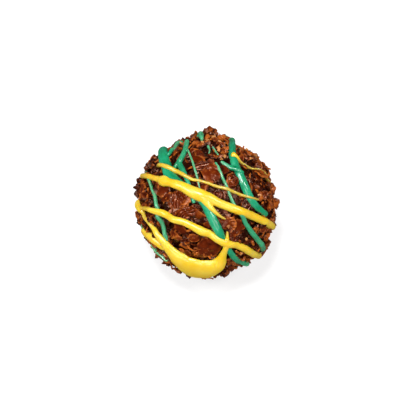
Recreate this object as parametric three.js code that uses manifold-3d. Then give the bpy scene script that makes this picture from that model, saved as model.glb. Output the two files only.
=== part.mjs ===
// A chocolate praline: a hand-rolled ball of soft chocolate, rolled in chocolate shavings and
// crumbs, with yellow and green chocolate drizzled over it. It sits on the flat spot that the ball
// got on the tray. Millimetres, +Z up, and the origin is the middle of that flat spot.
// The ball, its shavings and its drizzle have set into one piece, so they are one solid.

import * as THREE from "three";
import { mergeVertices } from "three/addons/utils/BufferGeometryUtils.js";
import Module from "manifold-3d";

const wasm = await Module();
wasm.setup();

// The ball, before its coating
const ballRadius = 16.9; // at its widest level
const crownHeight = 16.1; // from the widest level to the top
const bellyDepth = 16.0; // from the widest level to where an unflattened ball would end
const centreHeight = 14.6; // of the widest level above the table
const ballDetail = 9; // how often each edge of the icosahedron is split
const crustRelief = 0.42; // of the flakes and crumbs that are too fine to be pieces here

// The coating
const placeCount = 44; // for pieces of the coating, spread evenly over the whole ball
const shavingSize = [3.2, 5.0]; // across a broad shaving
const shavingThickness = 0.6;
const shavingCorners = 6;
const shavingShare = 0.5; // of the places
const crumbSize = [1.6, 2.4];
const crumbShare = 0.35;
const sliverLength = [2.6, 4.2];
const sliverThickness = 0.6;
const mostTilt = 0.3; // radians that a piece is tipped out of the surface
const seat = { shaving: 0.2, crumb: 0.25, sliver: 0.15, largeShaving: 0.3, rimChunk: 0.5 }; // above the ball
const bareAboveTable = 2.2; // nothing is stuck on lower than this, where the ball lay on the tray

// The shavings and chunks that stand out in the picture, drawn on the same plane as the drizzle:
// [to the right, up, length, width, turn in degrees]
const largeShavings = [
  [-6.5, 1.1, 5.2, 4.2, 75],
  [-4.4, -2.1, 5.8, 2.6, 28],
  [-6.4, -6.0, 3.8, 2.0, -32],
  [-3.0, -8.5, 3.2, 2.0, 10],
  [0.8, -10.8, 5.6, 5.2, 20],
  [7.9, -6.4, 4.4, 3.6, -50],
  [4.6, -1.9, 3.8, 2.6, -35],
  [6.8, 6.1, 3.6, 3.2, 60],
  [0.6, 8.6, 4.8, 3.6, -20],
  [-2.3, 12.2, 4.2, 3.2, 80],
  [-10.9, 3.5, 3.6, 3.0, 45],
  [-4.2, 17.0, 3.4, 2.0, 35],
  [9.6, 12.4, 3.6, 2.0, -35],
  [12.8, 4.0, 3.4, 2.6, -60],
];
const rimChunks = [
  [1.3, 18.4, 2.8, 2.0, 60],
  [5.4, 17.2, 2.2, 1.6, -20],
  [12.4, 12.4, 2.4, 1.8, 0],
  [17.7, 0.6, 2.2, 1.6, 80],
  [-17.0, 2.6, 2.4, 1.8, 70],
  [-13.4, 9.2, 2.6, 2.2, 40],
  [-11.9, -12.4, 2.6, 1.8, -45],
  [10.6, -15.0, 2.4, 1.6, 30],
];

// The drizzle: its routes are drawn on the plane that faces the eye, which looks steeply down
const eyeElevation = 72; // degrees above the horizon, from the -Y side
const pictureRadius = 17.7; // of the coated ball, as the routes are drawn
const mostOfRadius = 0.995; // a point drawn further out lies here, just inside the rim
const strandSides = 6;
const strandStep = 2.3; // along a strand

// Each point of a route is [to the right, up the picture, width of the strand] in millimetres.
// tail is how far the strand runs on over the edge of the picture, down the side of the ball.
const yellowStrands = [
  { name: "bead and thread at the upper right", lift: 0.5, tail: 0,
    route: [[6.1, 12.1, 1.4], [7.4, 11.3, 1.0], [11.0, 8.8, 0.5], [15.8, 5.4, 0.6]] },
  { name: "upper strand", lift: 0.3, tail: 0,
    route: [[-12.4, 9.1, 0.5], [-11.4, 9.3, 1.0], [-6.9, 8.0, 1.1], [-3.3, 6.1, 0.8], [4.9, 3.8, 0.8],
      [12.8, 1.1, 0.6]] },
  { name: "main band", lift: 0.35, tail: 1.6,
    route: [[-15.9, 7.0, 1.4], [-11.8, 6.2, 1.6], [-10.5, 5.8, 2.2], [-5.4, 4.2, 2.3], [-1.0, 2.1, 3.1],
      [3.3, 0.3, 2.1], [11.0, -2.6, 2.0], [16.6, -5.7, 1.6]] },
  { name: "branch of the main band", lift: 0.25, tail: 0,
    route: [[-0.8, 1.5, 2.0], [2.3, -2.0, 1.0], [5.0, -3.7, 0.5]] },
  { name: "lower band", lift: 0.3, tail: 1.4,
    route: [[-15.4, -0.7, 0.9], [-12.0, -1.6, 1.5], [-8.2, -3.3, 1.7], [-1.3, -6.3, 2.0],
      [4.9, -9.4, 1.9], [9.7, -10.9, 1.8], [12.9, -12.9, 1.6]] },
  { name: "loop that hangs over the front", lift: 0.3, tail: 0,
    route: [[-17.2, 0.7, 1.6], [-15.4, -1.5, 1.1], [-12.3, -6.3, 1.7], [-8.8, -11.3, 3.0], [-5.2, -14.6, 4.9],
      [-1.6, -15.6, 5.3], [1.8, -14.5, 4.2], [3.9, -12.1, 2.4], [4.9, -9.4, 1.6], [5.1, -6.3, 0.5]] },
  { name: "stub beside the loop", lift: 0.3, tail: 0,
    route: [[-15.1, -6.6, 1.3], [-9.7, -10.8, 1.5]] },
];
const greenStrands = [
  { name: "thick strand down the middle", lift: 0.2, tail: 0.8,
    route: [[-10.2, 13.2, 2.6], [-9.9, 10.3, 2.7], [-9.2, 7.5, 2.8], [-3.3, 1.6, 2.0], [0.6, -2.7, 2.2],
      [3.3, -6.8, 2.2], [5.9, -11.6, 1.6], [9.7, -14.1, 1.6]] },
  { name: "short strand at the upper left", lift: 0.2, tail: 0,
    route: [[-5.2, 15.3, 1.0], [-6.7, 14.3, 1.1], [-8.7, 11.3, 0.8]] },
  { name: "forked strand", lift: 0.2, tail: 0,
    route: [[-4.4, 14.9, 1.2], [-5.3, 12.5, 1.3], [-6.7, 10.3, 1.5], [-4.9, 6.7, 1.2], [-2.8, 0.4, 0.8]] },
  { name: "fork", lift: 0.15, tail: 0,
    route: [[-6.7, 10.2, 1.2], [-8.7, 8.5, 0.8]] },
  { name: "thread beside the fork", lift: 0.2, tail: 0,
    route: [[-4.4, 13.1, 0.5], [-2.6, 8.3, 0.6], [-1.4, 3.8, 0.5]] },
  { name: "long thin strand", lift: 0.2, tail: 1.2,
    route: [[2.2, 10.7, 0.7], [5.0, 4.4, 0.7], [8.1, -1.8, 1.0], [11.5, -7.1, 1.3], [14.3, -11.3, 1.4]] },
  { name: "thick strand on the right", lift: 0.2, tail: 0,
    route: [[6.1, 15.2, 1.7], [7.2, 10.3, 1.9], [9.5, 4.9, 1.9], [12.0, 0.2, 1.8], [14.1, -2.0, 1.4]] },
  { name: "strand that joins it", lift: 0.35, tail: 0,
    route: [[3.6, 11.0, 0.6], [6.9, 8.8, 0.9], [9.7, 7.1, 0.7]] },
  { name: "thread on the left", lift: 0.2, tail: 0,
    route: [[-15.1, 8.8, 0.8], [-13.3, 5.2, 0.6], [-11.7, 0.3, 0.8], [-11.6, -3.0, 1.2], [-9.4, -8.2, 0.8]] },
  { name: "blob at the back", lift: 0.2, tail: 0,
    route: [[-1.5, 17.2, 1.2], [-1.0, 16.3, 2.0], [-0.8, 15.4, 1.0]] },
  { name: "bead at the back", lift: 0.2, tail: 0,
    route: [[0.4, 14.4, 0.7], [1.1, 12.9, 0.5]] },
];

const centre = new THREE.Vector3(0, 0, centreHeight);
const upwards = new THREE.Vector3(0, 0, 1);
const elevation = THREE.MathUtils.degToRad(eyeElevation);
const towardsEye = new THREE.Vector3(0, -Math.cos(elevation), Math.sin(elevation));
const pictureUp = new THREE.Vector3(0, Math.sin(elevation), Math.cos(elevation));
const goldenAngle = Math.PI * (3 - Math.sqrt(5));

// A number from 0 to 1 that looks random and is the same in each run.
function chance(index, use) {
  const wave = Math.sin(index * 12.9898 + use * 78.233) * 43758.5453;
  return wave - Math.floor(wave);
}

function between([low, high], share) {
  return low + (high - low) * share;
}

// How far the hand-rolled ball is off a true one in a direction.
function unevenness(d) {
  return (
    0.22 * Math.sin(2.3 * d.x + 1.4 * d.y + 0.5) +
    0.18 * Math.sin(3.1 * d.y - 2.2 * d.z + 1.9) +
    0.15 * Math.sin(4.3 * d.z + 3.4 * d.x + 4.0)
  );
}

// The point of the ball's surface in a direction from its centre, raised by lift.
function onBall(direction, lift = 0) {
  const d = direction.clone().normalize();
  const depth = d.z > 0 ? crownHeight : bellyDepth;
  const reach = 1 / Math.hypot(Math.hypot(d.x, d.y) / ballRadius, d.z / depth);
  return d.multiplyScalar(reach + unevenness(d) + lift).add(centre);
}

// The geometry with the corners that its faces share made one vertex each.
function welded(geometry) {
  geometry.deleteAttribute("normal");
  geometry.deleteAttribute("uv");
  return mergeVertices(geometry, 1e-4);
}

// The welded geometry with each vertex moved by place, which gets the vertex and its number.
function reshaped(geometry, place) {
  const shape = welded(geometry);
  const positions = shape.attributes.position;
  for (let i = 0; i < positions.count; i++) {
    const moved = place(new THREE.Vector3().fromBufferAttribute(positions, i), i);
    positions.setXYZ(i, moved.x, moved.y, moved.z);
  }
  return shape;
}

// A welded geometry as a solid that can be joined and cut.
function solidOf(geometry) {
  return new wasm.Manifold(
    new wasm.Mesh({
      numProp: 3,
      vertProperties: geometry.attributes.position.array,
      triVerts: new Uint32Array(geometry.index.array),
    }),
  );
}

// The ball, crusted all over with flakes and crumbs, but pressed smooth where it lay on the tray.
function ball() {
  return reshaped(new THREE.IcosahedronGeometry(1, ballDetail), (direction, i) => {
    const relief = crustRelief * THREE.MathUtils.smoothstep(onBall(direction).z, 0, bareAboveTable);
    return onBall(direction, between([-relief, relief], chance(i, 7)));
  });
}

// The direction from the ball's centre of a point that is drawn on the picture plane.
function drawnDirection(right, up) {
  const fromMiddle = Math.hypot(right, up);
  const flat = Math.min(fromMiddle / pictureRadius, mostOfRadius);
  const scale = flat / Math.max(fromMiddle, 1e-6);
  return new THREE.Vector3(right * scale, 0, 0)
    .addScaledVector(pictureUp, up * scale)
    .addScaledVector(towardsEye, Math.sqrt(1 - flat * flat));
}

// Lays a piece, which was made flat at the origin, on the ball. Its x axis lies level on the ball
// before turn, and tilt and lean tip it out of the surface.
function layOn(geometry, direction, lift, { turn, tilt = 0, lean = 0 }) {
  const level = upwards.clone().cross(direction).normalize();
  const uphill = direction.clone().cross(level);
  const placed = new THREE.Matrix4().makeBasis(level, uphill, direction);
  placed.setPosition(onBall(direction, lift));
  const tipped = new THREE.Matrix4().makeRotationFromEuler(new THREE.Euler(tilt, lean, turn, "ZYX"));
  return geometry.applyMatrix4(placed.multiply(tipped));
}

// A broad shaving: a thin plate with a ragged outline, bent to the ball.
function shaving(index, length, width) {
  const plate = new THREE.CylinderGeometry(0.5, 0.5, shavingThickness, shavingCorners);
  const bend = between([-0.05, 0.0], chance(index, 12));
  return reshaped(plate.rotateX(Math.PI / 2), (v) => {
    const turn = Math.atan2(v.y, v.x) / (2 * Math.PI) + 1;
    const corner = Math.round(turn * shavingCorners) % shavingCorners;
    const ragged = between([0.8, 1.15], chance(index * shavingCorners + corner, 13));
    const x = v.x * length * ragged;
    const y = v.y * width * ragged;
    return new THREE.Vector3(x, y, v.z + bend * (x * x + y * y));
  });
}

// A crumb: a rough lump.
function crumb(index, length, width) {
  const size = new THREE.Vector3(length, width, width);
  return reshaped(new THREE.IcosahedronGeometry(0.5, 0), (v, i) =>
    v.multiply(size).multiplyScalar(between([0.75, 1.25], chance(index * 12 + i, 21))),
  );
}

// A sliver: a narrow splinter that tapers.
function sliver(index, length) {
  const taper = between([0.3, 0.9], chance(index, 31));
  return reshaped(new THREE.BoxGeometry(length, sliverThickness, sliverThickness), (v) =>
    v.x > 0 ? new THREE.Vector3(v.x, v.y * taper, v.z * taper) : v,
  );
}

// The pieces of the coating that the picture shows best.
function drawnPieces() {
  const flat = (turn) => ({ turn: THREE.MathUtils.degToRad(turn) });
  const shavings = largeShavings.map(([right, up, length, width, turn], i) =>
    layOn(shaving(1000 + i, length, width), drawnDirection(right, up), seat.largeShaving, flat(turn)),
  );
  const chunks = rimChunks.map(([right, up, length, width, turn], i) =>
    layOn(crumb(2000 + i, length, width), drawnDirection(right, up), seat.rimChunk, flat(turn)),
  );
  return [...shavings, ...chunks];
}

// One of the evenly spread pieces of the coating, or nothing where the ball lay on the tray or
// where a strand or a drawn shaving is.
function spreadPiece(index, taken) {
  const height = 1 - (2 * (index + 0.5)) / placeCount;
  const around = index * goldenAngle + 0.5 * chance(index, 1);
  const ring = Math.sqrt(1 - height * height);
  const direction = new THREE.Vector3(ring * Math.cos(around), ring * Math.sin(around), height);
  const at = onBall(direction);
  if (at.z < bareAboveTable || taken.some((t) => t.point.distanceTo(at) < t.width / 2 + 0.3)) return null;
  const kind = chance(index, 2);
  const size = chance(index, 6);
  const attitude = {
    tilt: between([-mostTilt, mostTilt], chance(index, 3)),
    lean: between([-mostTilt, mostTilt], chance(index, 4)),
    turn: 2 * Math.PI * chance(index, 5),
  };
  if (kind < shavingShare) {
    const length = between(shavingSize, size);
    const width = length * between([0.55, 0.85], chance(index, 8));
    return layOn(shaving(index, length, width), direction, seat.shaving, attitude);
  }
  if (kind < shavingShare + crumbShare) {
    const length = between(crumbSize, size);
    return layOn(crumb(index, length, 0.8 * length), direction, seat.crumb, attitude);
  }
  return layOn(sliver(index, between(sliverLength, size)), direction, seat.sliver, attitude);
}

// A strand's line of points on the ball, each with the strand's width there.
function centreLine(strand) {
  const directions = strand.route.map(([right, up]) => drawnDirection(right, up));
  const widths = strand.route.map((point) => point[2]);
  if (strand.tail) {
    const [before, last] = directions.slice(-2);
    const axis = before.clone().cross(last).normalize();
    directions.push(last.clone().applyAxisAngle(axis, strand.tail / ballRadius));
    widths.push(widths.at(-1));
  }
  const corners = directions.map((direction) => direction.multiplyScalar(ballRadius));
  const curve = new THREE.CatmullRomCurve3(corners, false, "centripetal");
  const steps = Math.max(3, Math.round(curve.getLength() / strandStep));
  return Array.from({ length: steps + 1 }, (_, i) => {
    const along = (i / steps) * (widths.length - 1);
    const from = Math.min(Math.floor(along), widths.length - 2);
    const width = between([widths[from], widths[from + 1]], along - from);
    return { point: onBall(curve.getPoint(i / steps), strand.lift), width };
  });
}

// How high a strand of some width stands over its centre line.
function strandHeight(width) {
  return Math.min(0.55 * width, 0.25 + 0.24 * width);
}

// A strand: a three.js cylinder laid along its line, with round ends.
function strandGeometry(line) {
  const steps = line.length - 1;
  const rod = new THREE.CylinderGeometry(1, 1, steps, strandSides, steps);
  return reshaped(rod, (v) => {
    const i = Math.round(v.y + steps / 2);
    const { point, width } = line[i];
    const next = line[Math.min(i + 1, steps)].point;
    const last = line[Math.max(i - 1, 0)].point;
    const ahead = next.clone().sub(last).normalize();
    const out = point.clone().sub(centre).normalize();
    const side = ahead.clone().cross(out).normalize();
    const isEnd = i === 0 || i === steps;
    const full = isEnd ? 0.65 : 1;
    const tip = isEnd && Math.hypot(v.x, v.z) < 0.5 ? 0.25 * width * Math.sign(v.y) : 0;
    return point
      .clone()
      .addScaledVector(ahead, tip)
      .addScaledVector(side, (v.x * width * full) / 2)
      .addScaledVector(out, v.z * strandHeight(width) * full);
  });
}

// The whole praline as one solid, cut off flat where it stands.
function praline() {
  const lines = [...yellowStrands, ...greenStrands].map(centreLine);
  const drawn = [...largeShavings, ...rimChunks].map(([right, up, length]) => ({
    point: onBall(drawnDirection(right, up)),
    width: length,
  }));
  const taken = [...lines.flat(), ...drawn];
  const spread = Array.from({ length: placeCount }, (_, i) => spreadPiece(i, taken)).filter(Boolean);
  const pieces = [ball(), ...drawnPieces(), ...spread, ...lines.map(strandGeometry)].map(solidOf);
  const aboveTable = solidOf(welded(new THREE.BoxGeometry(60, 60, 60).translate(0, 0, 30)));
  const bodies = wasm.Manifold.union(pieces).intersect(aboveTable).decompose();
  // The biggest body is the praline: a loose scrap and a sealed gap under a shaving are bodies too.
  bodies.sort((a, b) => b.volume() - a.volume());
  const whole = bodies[0].getMesh();
  return new THREE.BufferGeometry()
    .setAttribute("position", new THREE.BufferAttribute(whole.vertProperties, 3))
    .setIndex(new THREE.BufferAttribute(whole.triVerts, 1));
}

const chocolate = new THREE.MeshStandardMaterial({ color: 0x64301a, roughness: 0.45, metalness: 0 });

const part = new THREE.Group();
const pralineMesh = new THREE.Mesh(praline(), chocolate);
pralineMesh.name = "praline";
part.add(pralineMesh);

export default part;
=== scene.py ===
import math
import random

import bpy
import numpy as np
from mathutils import Matrix, Vector, noise
from mathutils.kdtree import KDTree


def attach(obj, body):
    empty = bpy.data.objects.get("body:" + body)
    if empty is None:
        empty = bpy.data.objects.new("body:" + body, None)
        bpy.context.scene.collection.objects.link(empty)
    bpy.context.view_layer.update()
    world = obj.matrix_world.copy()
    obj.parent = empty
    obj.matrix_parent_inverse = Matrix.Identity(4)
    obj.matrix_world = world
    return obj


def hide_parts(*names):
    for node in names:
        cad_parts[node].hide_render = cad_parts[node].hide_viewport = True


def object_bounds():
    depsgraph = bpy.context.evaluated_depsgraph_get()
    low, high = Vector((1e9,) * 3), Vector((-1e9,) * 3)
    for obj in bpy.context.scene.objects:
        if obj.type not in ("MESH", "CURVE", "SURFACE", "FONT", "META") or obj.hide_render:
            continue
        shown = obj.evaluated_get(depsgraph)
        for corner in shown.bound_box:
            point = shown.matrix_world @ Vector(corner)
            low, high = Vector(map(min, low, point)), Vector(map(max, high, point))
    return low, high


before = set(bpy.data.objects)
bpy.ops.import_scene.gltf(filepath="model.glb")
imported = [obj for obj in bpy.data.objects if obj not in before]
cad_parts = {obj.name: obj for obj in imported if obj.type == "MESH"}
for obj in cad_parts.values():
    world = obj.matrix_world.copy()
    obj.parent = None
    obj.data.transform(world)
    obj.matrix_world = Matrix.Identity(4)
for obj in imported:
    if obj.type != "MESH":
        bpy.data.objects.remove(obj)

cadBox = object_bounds()
noise.seed_set(6)  # without it noise_vector gives something else each time

# everything is modelled in millimetres, standing on z = 0, and made metres at the end
millimetre = 0.001
metre = 1000.0

ball = {
    "radius": 16.9,  # at its widest level, with its coating
    "crown": 16.1,  # from that level up to the top
    "belly": 16.0,  # and down to where it would end if it weren't flat there
    "centreHeight": 14.6,
    "coreDepth": 1.2,  # how far the bare chocolate lies under that level
    "coatDepth": 0.66,  # and the middle of the coating's pieces
    "sideways": 0.7,  # how far to the left or right its sides begin
}
eye = {
    "elevation": 72.0,  # degrees, looking from the -Y side
    "distance": 500.0,
    "filmWidth": 36.0,
    "nearClip": 0.01,  # in metres
    "frameWidth": 101.2,  # what the picture takes in at the ball's middle
    "ballRight": -0.5,  # where the ball's middle is from the middle of the picture
    "ballUp": 0.85,
    "rounds": 8,  # tries to find what is seen at a drawn place
    "outermost": 0.995,  # of the radius, that a drawn place may lie from the middle
}

centre = Vector((0.0, 0.0, ball["centreHeight"]))
elevation = math.radians(eye["elevation"])
towardsEye = Vector((0.0, -math.cos(elevation), math.sin(elevation)))
pictureUp = Vector((0.0, math.sin(elevation), math.cos(elevation)))
pictureRight = Vector((1.0, 0.0, 0.0))
goldenAngle = math.pi * (3 - math.sqrt(5))

# the slow waves of a hand-rolled ball, as [height, x, y, z, start]
waves = [
    [0.22, 2.3, 1.4, 0.0, 0.5],
    [0.18, 0.0, 3.1, -2.2, 1.9],
    [0.15, 3.4, 0.0, 4.3, 4.0],
]
outline = {
    # how far the ball stands out at even steps round the picture, from the right over the top
    "lifts": [
        -0.9, -1.1, -0.3, -1.5, 0.0, 0.4, -1.2, 0.0, 0.2,
        -0.8, -0.5, -0.4, 0.2, 1.1, 0.4, -0.3, 0.7, -0.7,
    ],
    "fade": 0.6,  # of the way to the picture's middle, where that has faded out
}


def uneven(d):
    # how far the ball is off a true one
    return sum(high * math.sin(x * d[0] + y * d[1] + z * d[2] + start) for high, x, y, z, start in waves)


def outlineLift(direction):
    lifts = outline["lifts"]
    around = math.degrees(math.atan2(direction.dot(pictureUp), direction.dot(pictureRight))) % 360
    place = around / (360 / len(lifts))
    before = int(place)
    share = place - before
    here = lifts[before % len(lifts)] * (1 - share) + lifts[(before + 1) % len(lifts)] * share
    facing = abs(direction.dot(towardsEye))
    return here * max(0.0, 1 - facing / outline["fade"])


def onBall(direction, lift=0.0):
    d = Vector(direction).normalized()
    depth = ball["crown"] if d.z > 0 else ball["belly"]
    reach = 1 / math.hypot(math.hypot(d.x, d.y) / ball["radius"], d.z / depth)
    return centre + d * (reach + uneven(d) + outlineLift(d) + lift)


def drawnDirection(right, up, lift):
    # the direction from the ball's centre of what lies on the ball and is seen at a place in the picture
    across = Vector((right, up)) / ball["radius"]
    for _ in range(eye["rounds"]):
        across *= min(1.0, eye["outermost"] / max(across.length, 0.01))
        direction = pictureRight * across.x + pictureUp * across.y
        direction += towardsEye * math.sqrt(1 - across.length_squared)
        place = onBall(direction, lift) - centre
        near = 1 - place.dot(towardsEye) / eye["distance"]
        seen = Vector((place.dot(pictureRight), place.dot(pictureUp))) / near
        across += (Vector((right, up)) - seen) / ball["radius"]
    return direction


def tangents(direction):
    # two axes along the ball's surface: to the right and up in the picture, or round it on the sides
    if abs(direction.x) < ball["sideways"]:
        across = (pictureRight - direction * pictureRight.dot(direction)).normalized()
    else:
        across = pictureUp.cross(direction).normalized()
    return across, direction.cross(across)


# Helpers for pieces

def selectOnly(piece):
    bpy.ops.object.select_all(action="DESELECT")
    bpy.context.view_layer.objects.active = piece
    piece.select_set(True)


def newPiece(name, points, faces):
    mesh = bpy.data.meshes.new(name)
    mesh.from_pydata(points, [], faces)
    piece = bpy.data.objects.new(name, mesh)
    bpy.context.scene.collection.objects.link(piece)
    return piece


def addModifier(piece, kind, **settings):
    modifier = piece.modifiers.new(kind.lower(), kind)
    for key, value in settings.items():
        setattr(modifier, key, value)


def applyModifiers(piece):
    selectOnly(piece)
    for modifier in list(piece.modifiers):
        bpy.ops.object.modifier_apply(modifier=modifier.name)


def finishPiece(piece, material, sharpAngle):
    # metres, smooth shading with crisp edges, its material, and what it stands for
    piece.data.transform(Matrix.Scale(millimetre, 4))
    piece.data.materials.clear()
    piece.data.materials.append(material)
    selectOnly(piece)
    bpy.ops.object.shade_smooth_by_angle(angle=math.radians(sharpAngle))
    bpy.ops.object.select_all(action="DESELECT")
    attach(piece, "root")
    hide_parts("praline")
    piece.data.calc_loop_triangles()
    print(piece.name, "has", len(piece.data.loop_triangles), "triangles")


# Materials

def calculated(operation, reflected=False):
    # a method that adds a Math node
    def method(wire, other):
        first, second = (other, wire) if reflected else (wire, other)
        return wire.paint.make("ShaderNodeMath", {"operation": operation}, {0: first, 1: second})
    return method


class Wire:
    # an output socket, which can be calculated with
    def __init__(self, paint, socket):
        self.paint = paint
        self.socket = socket

    __add__ = calculated("ADD")
    __radd__ = calculated("ADD", reflected=True)
    __sub__ = calculated("SUBTRACT")
    __rsub__ = calculated("SUBTRACT", reflected=True)
    __mul__ = calculated("MULTIPLY")
    __rmul__ = calculated("MULTIPLY", reflected=True)


class Paint:
    # one material, with the one way in which nodes are added to it
    def __init__(self, name, constants):
        self.material = bpy.data.materials.new(name)
        self.material.use_nodes = True
        self.tree = self.material.node_tree
        self.shader = self.tree.nodes["Principled BSDF"]
        for key, value in constants.items():
            self.shader.inputs[key].default_value = value

    def make(self, kind, settings, sockets, output=0):
        node = self.tree.nodes.new(kind)
        for key, value in settings.items():
            setattr(node, key, value)
        for key, value in sockets.items():
            self.plug(node, key, value)
        return Wire(self, node.outputs[output])

    def plug(self, node, key, value):
        named = [s for s in node.inputs if key in (s.identifier, s.name)]
        socket = named[0] if named else node.inputs[key]
        if isinstance(value, Wire):
            self.tree.links.new(value.socket, socket)
        else:
            socket.default_value = value

    def feed(self, wires):
        for key, wire in wires.items():
            self.plug(self.shader, key, wire)

    def attribute(self, name, output="Fac"):
        return self.make("ShaderNodeAttribute", {"attribute_name": name}, {}, output)

    def place(self):
        return self.make("ShaderNodeTexCoord", {}, {}, "Object")

    def stretched(self, vector, scale):
        return self.make("ShaderNodeMapping", {}, {"Vector": vector, "Scale": scale})

    def noise(self, vector, scale, detail=3.0, roughness=0.5):
        sockets = {"Vector": vector, "Scale": scale, "Detail": detail, "Roughness": roughness}
        return self.make("ShaderNodeTexNoise", {}, sockets)

    def step(self, value, low, high):
        # 0 below low and 1 above high, with a soft slope in between
        sockets = {"Value": value, "From Min": low, "From Max": high}
        return self.make("ShaderNodeMapRange", {"interpolation_type": "SMOOTHSTEP"}, sockets)

    def mix(self, factor, first, second, blend="MIX"):
        settings = {"data_type": "RGBA", "blend_type": blend}
        sockets = {"Factor_Float": factor, "A_Color": first, "B_Color": second}
        return self.make("ShaderNodeMix", settings, sockets, output=2)

    def bump(self, height, strength, distance):
        sockets = {"Height": height, "Strength": strength, "Distance": distance}
        return self.make("ShaderNodeBump", {}, sockets)


flakedLook = {
    "dark": (0.015, 0.0009, 0.0001, 1.0),
    "brown": (0.109, 0.0112, 0.0005, 1.0),
    "orange": (0.46, 0.115, 0.013, 1.0),
    "roughness": 0.15,
    "gloss": 0.62,
    "glossTint": (1.0, 0.55, 0.38, 1.0),  # dark chocolate's highlights are warm
    "mottled": 0.9,  # how much the clouds in the chocolate change its shade
    "streaked": 0.3,  # and the streaks that the blade left
    "shaded": 0.62,  # and how much darker the painted shade makes the gaps and the valleys between the blade's ridges
    "browns": (0.0, 0.6),  # shades between which it turns from dark to brown
    "oranges": (0.52, 1.3),  # and from brown to orange
    "warmRims": 0.75,
    "mottle": (1.1, 4.0, 0.6),  # its scale, detail and roughness
    "streaks": (1.0, 3.0, 0.6),
    "streakStretch": (0.45, 3.6, 1.0),
    "rougher": (0.2, 0.12),  # by the clouds, and at broken edges
    "bump": (0.6, 0.00010),
}


def flakedChocolate():
    # shavings: a tint for each, orange where they are thin or broken, streaks left by the blade, and painted
    # shade in the gaps and in the valleys between the blade's ridges
    gloss = {"Specular IOR Level": flakedLook["gloss"], "Specular Tint": flakedLook["glossTint"]}
    paint = Paint("flaked chocolate", gloss)
    flat = paint.attribute("flat", "Vector")
    tint = paint.attribute("tint")
    rim = paint.attribute("rim")
    hollow = paint.attribute("hollow")
    mottle = paint.noise(flat, *flakedLook["mottle"])
    streaks = paint.noise(paint.stretched(flat, flakedLook["streakStretch"]), *flakedLook["streaks"])
    shade = tint + (mottle - 0.5) * flakedLook["mottled"] + (streaks - 0.5) * flakedLook["streaked"]
    # painted shade: the gaps and the valleys between the blade's ridges are darkened, and what stands out is
    # lightened
    shade -= hollow * flakedLook["shaded"]
    brown = paint.mix(paint.step(shade, *flakedLook["browns"]), flakedLook["dark"], flakedLook["brown"])
    warm = paint.step(shade + rim * mottle * flakedLook["warmRims"], *flakedLook["oranges"])
    colour = paint.mix(warm, brown, flakedLook["orange"])
    byClouds, byRims = flakedLook["rougher"]
    paint.feed({
        "Base Color": colour,
        "Roughness": flakedLook["roughness"] + mottle * byClouds + rim * byRims,
        "Normal": paint.bump(streaks * 0.5 + mottle * 0.5, *flakedLook["bump"]),
    })
    return paint.material


coreLook = {
    # near black: partly the chocolate's own colour, partly painted shade for the gaps
    "dark": (0.012, 0.0015, 0.0003, 1.0),
    "brown": (0.05, 0.009, 0.001, 1.0),
    "gloss": 0.2,
    "smears": (900.0, 4.0, 0.6),
    "roughness": 0.3,
    "rougher": 0.3,
    "bump": (0.6, 0.0003),
}


def coreChocolate():
    # the soft chocolate between the shavings, near black partly in its own colour and partly as painted
    # shade for the gaps where it shows
    gloss = {"Specular IOR Level": coreLook["gloss"], "Specular Tint": flakedLook["glossTint"]}
    paint = Paint("smeared chocolate", gloss)
    smears = paint.noise(paint.place(), *coreLook["smears"])
    paint.feed({
        "Base Color": paint.mix(smears, coreLook["dark"], coreLook["brown"]),
        "Roughness": coreLook["roughness"] + smears * coreLook["rougher"],
        "Normal": paint.bump(smears, *coreLook["bump"]),
    })
    return paint.material


brittleLook = {
    "toffee": (0.20, 0.050, 0.008, 1.0),
    "caramel": (0.62, 0.27, 0.08, 1.0),
    "gloss": 0.4,
    "grain": (2.2, 4.0, 0.6),
    "toffees": (0.1, 0.9),  # shades between which it turns from toffee to caramel
    "roughness": 0.35,
    "rougher": 0.2,
    "bump": (0.5, 0.00015),
}


def nutBrittle():
    # the few caramel-coloured bits
    paint = Paint("caramel bits", {"Specular IOR Level": brittleLook["gloss"]})
    grain = paint.noise(paint.attribute("flat", "Vector"), *brittleLook["grain"])
    mixed = paint.step(paint.attribute("tint") + grain - 0.5, *brittleLook["toffees"])
    paint.feed({
        "Base Color": paint.mix(mixed, brittleLook["toffee"], brittleLook["caramel"]),
        "Roughness": brittleLook["roughness"] + grain * brittleLook["rougher"],
        "Normal": paint.bump(grain, *brittleLook["bump"]),
    })
    return paint.material


drizzleLooks = {
    "yellow": {
        "deep": (0.76, 0.49, 0.012, 1.0),
        "light": (0.79, 0.57, 0.050, 1.0),
        "thin": (0.46, 0.34, 0.055, 1.0),
        "roughness": 0.24,
        "glow": (1.0, 0.6, 0.1),
    },
    "green": {
        "deep": (0.002, 0.22, 0.095, 1.0),
        "light": (0.020, 0.36, 0.18, 1.0),
        "thin": (0.13, 0.38, 0.19, 1.0),
        "roughness": 0.20,
        "glow": (0.2, 1.0, 0.6),
    },
}
drizzleShine = {
    "gloss": 0.75,
    "glowing": 0.6,  # how much of the light goes through it
    "glowDepth": 0.0010,
    "thinUnder": (0.2, 1.7),  # widths between which it turns from the thin colour to the full one
    "clouds": (260.0, 3.0, 0.5),
    "fine": (1600.0, 2.0, 0.5),
    "lights": (0.3, 0.7),  # clouds between which it turns from deep to light
    "rougher": 0.12,
    "bump": (0.35, 0.0003),
}


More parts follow.
